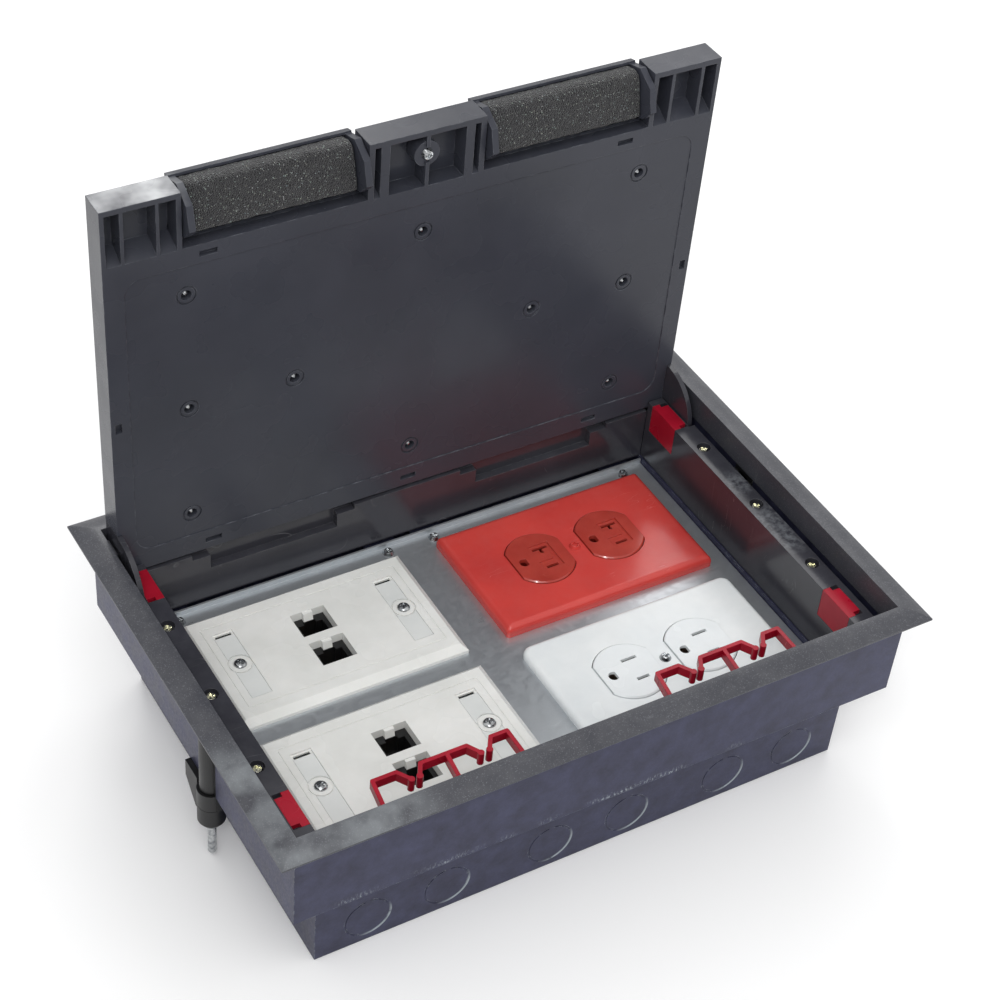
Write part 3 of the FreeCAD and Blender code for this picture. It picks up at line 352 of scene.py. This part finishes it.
plasticLooks = {
    # glass-filled nylon, spark-eroded: a charcoal skin with a mineral glint and greasy smears
    "bezelNylon": {"colour": "#45464c", "shade": "#3a3b42", "cloudMm": 26, "grainMm": 0.5,
                   "grainStrength": 0.45, "fleck": "#83848b", "fleckMm": 0.35, "fleckFrom": 0.86,
                   "scratch": 0.03, "scuffStrength": 0.2, "wornAndHighlight": "#a7a8ac", "dust": 0.12,
                   "dustColour": "#8c8c8d", "edgeMm": 0.8, "edgeWearAndHighlight": 0.35, "roughness": (0.34, 0.52),
                   "coat": 0.08, "markAndHighlightColour": "#a4aaad", "markAndHighlightMm": 17, "markAndHighlightStrength": 0.4,
                   "markAndHighlightSpots": [(-154, -60, 95, 26), (-150, -100, 95, 30), (-112, -104, 95, 26)]},
    # ABS lid moulding, semi-gloss: blurred reflections with fine hairlines, and a painted highlight on the
    # top of its left block
    "lidAbs": {"colour": "#3e4049", "shade": "#373941", "cloudMm": 60, "grainMm": 0.4,
               "grainStrength": 0.12, "scratch": 0.0, "scuffStrength": 0.12, "wornAndHighlight": "#a9adb6",
               "dust": 0.06, "dustColour": "#8d8e92", "edgeMm": 0.6, "edgeWearAndHighlight": 0.5,
               "roughness": (0.20, 0.34), "specular": 0.30, "markAndHighlightColour": "#e4e6e8", "markAndHighlightMm": 22,
               "markAndHighlightStrength": 0.6, "markAndHighlightSpots": [(-136, 91, 275, 22), (-118, 91, 275, 16)]},
    # black polypropylene rails and liners, glossy from the polished mould
    "railPolypropylene": {"colour": "#3b3b42", "shade": "#323238", "cloudMm": 30, "grainMm": 0.6,
                          "grainStrength": 0.10, "scratch": 0.05, "scuffStrength": 0.3, "wornAndHighlight": "#9a9b9f",
                          "dust": 0.08, "dustColour": "#7c8084", "edgeMm": 0.6, "edgeWearAndHighlight": 0.35,
                          "roughness": (0.11, 0.22), "markAndHighlightColour": "#a9aeb3", "markAndHighlightMm": 2.6,
                          "markAndHighlightStrength": 0.3,
                          "markAndHighlightSpots": [(141, 14, 78, 11), (141, -14, 78, 15), (141, -30, 78, 11)]},
    # raspberry-red acetal of the combs and clips, slightly waxy
    "combAcetal": {"colour": "#b0152e", "shade": "#9a1026", "cloudMm": 14, "grainMm": 0.5,
                   "grainStrength": 0.08, "scratch": 0.02, "scuffStrength": 0.15, "wornAndHighlight": "#cf6573",
                   "dust": 0.0, "dustColour": "#b07478", "edgeMm": 0.5, "edgeWearAndHighlight": 0.15,
                   "roughness": (0.22, 0.36), "specular": 0.28},
    # urea wall plates in a cool off-white with a hard polish
    "dataPlateUrea": {"colour": "#f7f7f4", "shade": "#e6e7e3", "cloudMm": 40, "grainMm": 0.7,
                      "grainStrength": 0.05, "scratch": 0.0, "scuffStrength": 0.15, "wornAndHighlight": "#f4f4f2",
                      "dust": 0.10, "dustColour": "#b9b7af", "edgeMm": 0.5, "edgeWearAndHighlight": 0.1,
                      "roughness": (0.20, 0.32), "soft": 0.10, "softRadius": (1.0, 0.9, 0.8)},
    # white thermoplastic of the receptacle's faces, with painted shade in its slots
    "whiteFaceThermoplastic": {"colour": "#f7fbfc", "shade": "#ebf0f2", "cloudMm": 40, "grainMm": 0.7,
                               "grainStrength": 0.05, "scratch": 0.0, "scuffStrength": 0.15,
                               "wornAndHighlight": "#f6f7f8", "dust": 0.08, "dustColour": "#b4b6b8", "edgeMm": 0.5,
                               "edgeWearAndHighlight": 0.1, "roughness": (0.18, 0.30), "inside": "#30261f",
                               "insideTop": 47.6},
    # white thermoplastic cover plate, slightly soft where light enters its rim
    "whiteThermoplastic": {"colour": "#f9fcfc", "shade": "#e9eef0", "cloudMm": 40, "grainMm": 0.7,
                           "grainStrength": 0.05, "scratch": 0.0, "scuffStrength": 0.15,
                           "wornAndHighlight": "#f6f7f8", "dust": 0.08, "dustColour": "#b4b6b8", "edgeMm": 0.5,
                           "edgeWearAndHighlight": 0.1, "roughness": (0.18, 0.30), "soft": 0.12,
                           "softRadius": (1.0, 0.95, 0.9)},
    # clear-coated polycarbonate label covers, a little glossier than the plate round them
    "labelPolycarbonate": {"colour": "#eceeec", "shade": "#e2e5e3", "cloudMm": 20, "grainMm": 0.8,
                           "grainStrength": 0.04, "scratch": 0.02, "scuffStrength": 0.2,
                           "wornAndHighlight": "#ffffff", "dust": 0.05, "dustColour": "#c0c0bc", "edgeMm": 0.3,
                           "edgeWearAndHighlight": 0.1, "roughness": (0.10, 0.22), "coat": 0.5},
    # red nylon cover plate, glossy with soft highlights along its rim, partly painted in as a pale
    # rubbed-edge colour
    "redNylon": {"colour": "#dd4c45", "shade": "#cc403c", "cloudMm": 35, "grainMm": 0.6,
                 "grainStrength": 0.06, "scratch": 0.02, "scuffStrength": 0.2, "wornAndHighlight": "#e79a95",
                 "dust": 0.08, "dustColour": "#cf8d86", "edgeMm": 0.6, "edgeWearAndHighlight": 0.3,
                 "roughness": (0.16, 0.26), "coat": 0.2, "soft": 0.12, "softRadius": (1.0, 0.25, 0.2)},
    # orange-red translucent nylon of the receptacle's faces, with painted shade in its slots
    "redFaceNylon": {"colour": "#c2483d", "shade": "#ac392f", "cloudMm": 20, "grainMm": 0.5,
                     "grainStrength": 0.06, "scratch": 0.02, "scuffStrength": 0.2, "wornAndHighlight": "#e39a86",
                     "dust": 0.06, "dustColour": "#c98674", "edgeMm": 0.5, "edgeWearAndHighlight": 0.15,
                     "roughness": (0.10, 0.20), "coat": 0.3, "soft": 0.25, "softRadius": (1.0, 0.3, 0.12),
                     "inside": "#6e1c16", "insideTop": 48.6},
    # plain black ABS of the jacks and the clamps
    "blackAbs": {"colour": "#141415", "shade": "#0f0f10", "cloudMm": 10, "grainMm": 0.4,
                 "grainStrength": 0.15, "scratch": 0.0, "scuffStrength": 0.2, "wornAndHighlight": "#5a5a5c",
                 "dust": 0.1, "dustColour": "#55555a", "edgeMm": 0.3, "edgeWearAndHighlight": 0.2,
                 "roughness": (0.35, 0.5)},
}

steelLooks = {
    # powder-coated steel: slate blue-violet, mottled by handling, chipped to bright metal on the folds
    "paintedSteel": {"colour": "#25253c", "shade": "#42445f", "cloudMm": 10, "patternMm": 1.4,
                     "patternStrength": 0.14, "pattern": "#50546a", "patternRough": 0.08,
                     "brushScale": (1, 1, 1), "brushStrength": 0.25, "scratch": 0.0,
                     "scuffStrength": 0.15, "wornAndHighlight": "#b3bcc2", "edgeMm": 0.7, "edgeWearAndHighlight": 0.7,
                     # the knockout rims get a painted highlight in the wear colour
                     "nicks": (46, 50), "nickFront": -102.0, "rimHighlightCentres": (20.0, 72.0, 110.5),
                     "rimHighlightHeight": 15.0, "rimHighlightRadius": 11.2, "roughness": (0.30, 0.48),
                     "metallic": 0.35},
    # hot-dip galvanised sheet: grey spangle drawn out by rolling, with wavy rub marks
    "galvanisedSteel": {"colour": "#cfd3d7", "shade": "#c2c7cb", "cloudMm": 30, "patternMm": 2.6,
                        "patternStrength": 0.22, "pattern": "#b4b9be", "patternRough": 0.10,
                        "brushScale": (0.05, 1, 1), "brushStrength": 0.2, "scratch": 0.03,
                        "scuffStrength": 0.25, "wornAndHighlight": "#e3e6e8", "edgeMm": 0.5, "edgeWearAndHighlight": 0.5,
                        "roughness": (0.26, 0.38), "metallic": 0.8},
}

screwLooks = {
    # yellow chromate over zinc: straw gold with a greenish and pink drift
    "yellowChromate": {"colour": "#e8e7da", "shade": "#c3c1a8", "roughness": (0.12, 0.28)},
    # clear chromate over zinc: cool silver
    "clearZinc": {"colour": "#cfd1d2", "shade": "#85888c", "roughness": (0.12, 0.28)},
    # gold-flashed contacts: a warm glint deep in the jacks
    "goldContact": {"colour": "#d8b25a", "shade": "#c49a45", "roughness": (0.15, 0.25)},
}

finishes = {name: mouldedPlastic(name, look) for name, look in plasticLooks.items()}
finishes.update({name: sheetSteel(name, look) for name, look in steelLooks.items()})
finishes.update({name: platedScrew(name, look) for name, look in screwLooks.items()})
finishes["polyurethaneFoam"] = openCellFoam("polyurethaneFoam", {
    "cellMm": 0.9, "pitShade": "#0d0d0f", "strand": "#27272b", "dust": "#323238", "glintMm": 0.38})
print("materials made:", len(finishes))

nodeFinish = {
    "paintedSteel": ["upper_pan", "lower_pan"],
    "bezelNylon": ["bezel_frame"],
    "railPolypropylene": ["side_rail_left", "side_rail_right", "rear_liner", "front_liner",
                          "hinge_ear_left",
                          "hinge_ear_right"],
    "combAcetal": ["rail_clips", "cable_comb_left", "cable_comb_right"],
    "lidAbs": ["lid_shell", "cable_flap_left", "cable_flap_right"],
    "galvanisedSteel": ["lid_stiffener_plate", "mounting_plate", "receptacle_yokes"],
    "clearZinc": ["lid_studs", "lid_screw", "hinge_pins", "mounting_screws", "data_plate_screws",
                  "white_plate_screw", "clamp_screw_left", "clamp_screw_right"],
    "yellowChromate": ["rail_screws"],
    "dataPlateUrea": ["data_plate_rear", "data_plate_front"],
    "labelPolycarbonate": ["label_covers"],
    "blackAbs": ["data_jacks", "clamp_bracket_left", "clamp_bracket_right", "clamp_jaw_left",
                 "clamp_jaw_right"],
    "redNylon": ["red_wall_plate", "red_plate_screw"],
    "redFaceNylon": ["red_receptacle"],
    "whiteThermoplastic": ["white_wall_plate"],
    "whiteFaceThermoplastic": ["white_receptacle"],
    "polyurethaneFoam": ["flap_foam_left", "flap_foam_right"],
}
for finish, names in nodeFinish.items():
    for name in names:
        part = bpy.data.objects[name]
        part.data.materials.clear()
        part.data.materials.append(finishes[finish])
print("parts finished:", sum(len(names) for names in nodeFinish.values()))


foamLook = {"voxel": 0.9 * mm, "smoothing": 14, "coarse": 5.0 * mm, "fine": 1.6 * mm,
           "coarseDepth": 0.25 * mm, "fineDepth": 0.18 * mm}


def makeFoam(side):
    source = bpy.data.objects["flap_foam_" + side]
    pad = bpy.data.objects.new("foam_pad_" + side, source.data.copy())
    pad.data.transform(source.matrix_world)
    bpy.context.scene.collection.objects.link(pad)
    remesh = pad.modifiers.new("remesh", "REMESH")
    remesh.mode = "VOXEL"
    remesh.voxel_size = foamLook["voxel"]
    smooth = pad.modifiers.new("smooth", "SMOOTH")
    smooth.factor = 0.5
    smooth.iterations = foamLook["smoothing"]
    graph = bpy.context.evaluated_depsgraph_get()
    shape = bpy.data.meshes.new_from_object(pad.evaluated_get(graph))
    pad.modifiers.clear()
    pad.data = shape
    for vertex in shape.vertices:
        coarse = noise.noise(vertex.co / foamLook["coarse"]) * foamLook["coarseDepth"]
        fine = noise.noise(vertex.co / foamLook["fine"]) * foamLook["fineDepth"]
        vertex.co += vertex.normal * (coarse + fine)
    shape.materials.clear()
    shape.materials.append(finishes["polyurethaneFoam"])
    shape.shade_smooth()
    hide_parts("flap_foam_" + side)
    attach(pad, "flap_" + side)


for side in ("left", "right"):
    makeFoam(side)
print("foam pads made")


webLook = {"shares": (20.0 * mm, 72.0 * mm, 110.5 * mm), "endShares": (40.0 * mm,), "height": 15.0 * mm,
           "outer": 11.15 * mm, "inner": 10.35 * mm, "sunk": 0.18 * mm, "thick": 0.8 * mm, "steps": 48}


def addRing(work, centre, outward, look):
    # a closed flat ring, sunk a little below the wall's outer face
    across = Vector((0, 0, 1)).cross(outward)
    loops = []
    for radius, depth in ((look["outer"], look["sunk"]), (look["inner"], look["sunk"]),
                          (look["inner"], look["thick"]), (look["outer"], look["thick"])):
        loop = []
        for n in range(look["steps"]):
            turn = math.tau * n / look["steps"]
            offset = across * math.cos(turn) + Vector((0, 0, 1)) * math.sin(turn)
            loop.append(work.verts.new(centre + offset * radius - outward * depth))
        loops.append(loop)
    for first, second in zip(loops, loops[1:] + loops[:1]):
        for n in range(look["steps"]):
            after = (n + 1) % look["steps"]
            work.faces.new((first[n], first[after], second[after], second[n]))


def makeKnockoutWebs():
    # the half-sheared steel that closes the cut round each knockout
    low, high = (Vector(corner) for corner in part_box("lower_pan"))
    mesh = bpy.data.meshes.new("knockout_webs")
    work = bmesh.new()
    for side in (-1, 1):
        for share in webLook["shares"]:
            for y, outward in ((low.y, Vector((0, -1, 0))), (high.y, Vector((0, 1, 0)))):
                addRing(work, Vector((side * share, y, webLook["height"])), outward, webLook)
        for share in webLook["endShares"]:
            for x, outward in ((low.x, Vector((-1, 0, 0))), (high.x, Vector((1, 0, 0)))):
                addRing(work, Vector((x, side * share, webLook["height"])), outward, webLook)
    bmesh.ops.recalc_face_normals(work, faces=work.faces)
    work.to_mesh(mesh)
    work.free()
    webs = bpy.data.objects.new("knockout_webs", mesh)
    bpy.context.scene.collection.objects.link(webs)
    mesh.materials.append(finishes["paintedSteel"])
    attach(webs, "box")


makeKnockoutWebs()
print("knockout webs made")


headLook = {"span": 83.3 * mm, "radius": 2.9 * mm, "rise": 1.3 * mm, "seat": 0.3 * mm,
            "slotLength": 3.6 * mm,
            "slotWidth": 0.75 * mm, "slotDepth": 0.9 * mm, "steps": 40, "shank": 1.4 * mm,
            "length": 6.0 * mm}


def screwMesh(look):
    # a domed Phillips head on its shank, turned about Z with its seat at the origin
    work = bmesh.new()
    profile = [(look["radius"] * math.sin(a), look["rise"] * math.cos(a))
               for a in [math.radians(d) for d in (15, 35, 55, 75, 90)]]
    profile += [(look["radius"], -look["seat"]), (look["shank"], -look["seat"]), (look["shank"],
                                                                                  -look["length"])]
    loops = []
    for radius, z in profile:
        turns = [math.tau * n / look["steps"] for n in range(look["steps"])]
        loops.append([work.verts.new((radius * math.cos(t), radius * math.sin(t), z)) for t in turns])
    for first, second in zip(loops, loops[1:]):
        for n in range(look["steps"]):
            after = (n + 1) % look["steps"]
            work.faces.new((first[n], second[n], second[after], first[after]))
    work.faces.new(loops[0])
    work.faces.new(loops[-1][::-1])
    head = bpy.data.meshes.new("screw_head")
    work.to_mesh(head)
    work.free()
    cutter = bmesh.new()
    for size in ((look["slotLength"], look["slotWidth"]), (look["slotWidth"], look["slotLength"])):
        scale = Matrix.Diagonal((*size, 2 * look["slotDepth"], 1.0))
        bmesh.ops.create_cube(cutter, size=1.0, matrix=Matrix.Translation((0, 0, look["rise"])) @ scale)
    cross = bpy.data.meshes.new("screw_cross")
    cutter.to_mesh(cross)
    cutter.free()
    tool = bpy.data.objects.new("screw_cross", cross)
    blank = bpy.data.objects.new("screw_blank", head)
    for item in (tool, blank):
        bpy.context.scene.collection.objects.link(item)
    cut = blank.modifiers.new("cross", "BOOLEAN")
    cut.object = tool
    cut.solver = "EXACT"
    cut.use_self = True
    graph = bpy.context.evaluated_depsgraph_get()
    shape = bpy.data.meshes.new_from_object(blank.evaluated_get(graph))
    for item in (tool, blank):
        bpy.data.objects.remove(item)
    return shape


def makePlateScrews():
    shape = screwMesh(headLook)
    work = bmesh.new()
    for plate in ("data_plate_rear", "data_plate_front"):
        low, high = (Vector(corner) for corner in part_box(plate))
        for side, turn in ((-1, 0.5), (1, 1.1)):
            place = Vector(((low.x + high.x) / 2 + side * headLook["span"] / 2, (low.y + high.y) / 2,
                            high.z))
            one = shape.copy()
            one.transform(Matrix.Translation(place) @ Matrix.Rotation(turn, 4, "Z"))
            work.from_mesh(one)
            bpy.data.meshes.remove(one)
    mesh = bpy.data.meshes.new("plate_screws")
    work.to_mesh(mesh)
    work.free()
    mesh.materials.append(finishes["clearZinc"])
    screws = bpy.data.objects.new("plate_screws", mesh)
    bpy.context.scene.collection.objects.link(screws)
    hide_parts("data_plate_screws")
    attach(screws, "box")


makePlateScrews()
print("plate screws made")


guideLook = {"width": 13.4 * mm, "height": 6.6 * mm, "lift": 0.2 * mm, "inner": 149.0 * mm,
             "outer": 150.6 * mm,
             "axis": 150.0 * mm, "bore": 3.95 * mm, "wall": 1.1 * mm, "foot": 46.2 * mm, "steps": 20}


def addGuideTube(work, centre, turn, low, high, look):
    # the outer half of the wall round the clamp screw's bore
    loops = []
    for n in range(look["steps"] + 1):
        angle = math.radians(-100 + 200 * n / look["steps"])
        outward = Vector((turn * math.cos(angle), math.sin(angle), 0))
        radii = (look["bore"], look["bore"] + look["wall"])
        corners = [(radii[0], low), (radii[1], low), (radii[1], high), (radii[0], high)]
        loops.append([work.verts.new(centre + outward * radius + Vector((0, 0, z))) for radius,
                      z in corners])
    for first, second in zip(loops, loops[1:]):
        for k in range(4):
            work.faces.new((first[k], first[(k + 1) % 4], second[(k + 1) % 4], second[k]))
    work.faces.new(loops[0][::-1])
    work.faces.new(loops[-1])


def makeGuideHeads():
    # each clamp guide's head closes the wall's slot above it, and a half tube closes its bore outside
    mesh = bpy.data.meshes.new("clamp_guide_heads")
    work = bmesh.new()
    for side in ("left", "right"):
        low, high = (Vector(corner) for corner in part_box("clamp_bracket_" + side))
        turn = -1 if side == "left" else 1
        row = (low.y + high.y) / 2
        middle = Vector((turn * (guideLook["inner"] + guideLook["outer"]) / 2, row,
                         high.z + guideLook["lift"] + guideLook["height"] / 2))
        size = (guideLook["outer"] - guideLook["inner"], guideLook["width"], guideLook["height"])
        bmesh.ops.create_cube(work, size=1.0, matrix=Matrix.Translation(middle) @ Matrix.Diagonal((*size,
                                                                                                   1.0)))
    bmesh.ops.bevel(work, geom=work.edges[:], offset=0.3 * mm, segments=2, affect="EDGES")
    for side in ("left", "right"):
        low, high = (Vector(corner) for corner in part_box("clamp_bracket_" + side))
        turn = -1 if side == "left" else 1
        centre = Vector((turn * guideLook["axis"], (low.y + high.y) / 2, 0))
        addGuideTube(work, centre, turn, guideLook["foot"], high.z - 0.1 * mm, guideLook)
    bmesh.ops.recalc_face_normals(work, faces=work.faces)
    work.to_mesh(mesh)
    work.free()
    heads = bpy.data.objects.new("clamp_guide_heads", mesh)
    bpy.context.scene.collection.objects.link(heads)
    mesh.materials.append(finishes["blackAbs"])
    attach(heads, "box")


makeGuideHeads()
print("guide heads made")


contactLook = {"count": 8, "pitch": 1.02 * mm, "width": 0.45 * mm, "thick": 0.3 * mm, "drop": 6.5 * mm,
               "run": 6.0 * mm, "start": 3.0 * mm, "jackOffset": 9.9 * mm, "setBack": 4.4 * mm,
               "tip": 1.2 * mm, "tipDrop": 0.3 * mm}


def makeContacts():
    high = Vector(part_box("data_jacks")[1])
    plates = [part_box("data_plate_rear"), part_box("data_plate_front")]
    mesh = bpy.data.meshes.new("jack_contacts")
    work = bmesh.new()
    for plateLow, plateHigh in plates:
        centreX = (plateLow[0] + plateHigh[0]) / 2
        centreY = (plateLow[1] + plateHigh[1]) / 2
        for jackY in (centreY - contactLook["jackOffset"], centreY + contactLook["jackOffset"]):
            for n in range(contactLook["count"]):
                x = centreX + (n - (contactLook["count"] - 1) / 2) * contactLook["pitch"]
                top = high.z - contactLook["start"]
                startY = jackY - contactLook["setBack"]
                path = [(startY, top), (startY + contactLook["tip"], top - contactLook["tipDrop"]),
                        (startY + contactLook["run"], top - contactLook["drop"])]
                rings = []
                for y, z in path:
                    half = contactLook["width"] / 2
                    thick = contactLook["thick"] / 2
                    rings.append([work.verts.new((x + a * half, y, z + b * thick))
                                  for a, b in ((-1, -1), (1, -1), (1, 1), (-1, 1))])
                for first, second in zip(rings, rings[1:]):
                    for k in range(4):
                        work.faces.new((first[k], first[(k + 1) % 4], second[(k + 1) % 4], second[k]))
                work.faces.new(rings[0][::-1])
                work.faces.new(rings[-1])
    bmesh.ops.recalc_face_normals(work, faces=work.faces)
    work.to_mesh(mesh)
    work.free()
    contacts = bpy.data.objects.new("jack_contacts", mesh)
    bpy.context.scene.collection.objects.link(contacts)
    mesh.materials.append(finishes["goldContact"])
    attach(contacts, "box")


makeContacts()
print("contacts made")


floorLook = {"half": 6.0, "gap": 0.0005, "paper": "#c4c4c4"}  # metres


def makeFloor():
    mesh = bpy.data.meshes.new("studio_floor")
    size = floorLook["half"]
    mesh.from_pydata([(-size, -size, 0), (size, -size, 0), (size, size, 0), (-size, size, 0)], [], [(0, 1,
                                                                                                     2, 3)])
    floor = bpy.data.objects.new("studio_floor", mesh)
    floor.location.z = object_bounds()[0][2] - floorLook["gap"]
    bpy.context.scene.collection.objects.link(floor)
    material, tree, _ = startMaterial("studioPaper")
    path = add(tree, "LightPath")
    seen = plus(tree, path.outputs["Is Camera Ray"], path.outputs["Is Glossy Ray"])
    seen = plus(tree, seen, path.outputs["Is Transmission Ray"])
    colour = blendColour(tree, seen, linear(floorLook["paper"]), (1.0, 1.0, 1.0, 1.0))
    shader = add(tree, "BsdfPrincipled", {"Base Color": colour, "Roughness": 0.9})
    shader.inputs["Specular IOR Level"].default_value = 0.0
    add(tree, "OutputMaterial", {"Surface": shader.outputs[0]})
    mesh.materials.append(material)


lampLooks = {
    "key": {"place": (-0.5, -0.8, 1.7), "size": 1.3, "power": 11.5},
    "flash": {"place": (-0.52, -0.70, 1.05), "size": 0.12, "power": 1.5},
    "rearLeft": {"place": (0.36, 1.32, 1.17), "size": 0.5, "power": 5.0},
    "rearRight": {"place": (0.95, 0.85, 1.1), "size": 0.7, "power": 2.5},
    "fill": {"place": (1.5, -0.9, 1.1), "size": 1.6, "power": 3.0, "mirrored": False},
}
lampAim = (0, 0, 0.1)
worldLook = {"seen": 1.0, "cast": 0.72}


def makeLamps():
    for name, look in lampLooks.items():
        data = bpy.data.lights.new(name, "AREA")
        data.shape = "SQUARE"
        data.size = look["size"]
        data.energy = look["power"]
        lamp = bpy.data.objects.new(name, data)
        lamp.location = look["place"]
        lamp.visible_glossy = look.get("mirrored", True)
        backward = Vector(look["place"]) - Vector(lampAim)
        lamp.rotation_euler = backward.to_track_quat("Z", "Y").to_euler()
        bpy.context.scene.collection.objects.link(lamp)
    world = bpy.data.worlds.new("studio")
    world.use_nodes = True
    world.node_tree.nodes.clear()
    tree = world.node_tree
    path = add(tree, "LightPath")
    strength = add(tree, "Mix", {0: path.outputs["Is Camera Ray"], 2: worldLook["cast"],
                                 3: worldLook["seen"]},
                   data_type="FLOAT").outputs[0]
    light = add(tree, "Background", {"Color": (1.0, 1.0, 1.0, 1.0), "Strength": strength})
    add(tree, "OutputWorld", {"Surface": light.outputs[0]})
    bpy.context.scene.world = world


makeFloor()
makeLamps()
bpy.context.scene.view_settings.view_transform = "Standard"
print("stage lit")
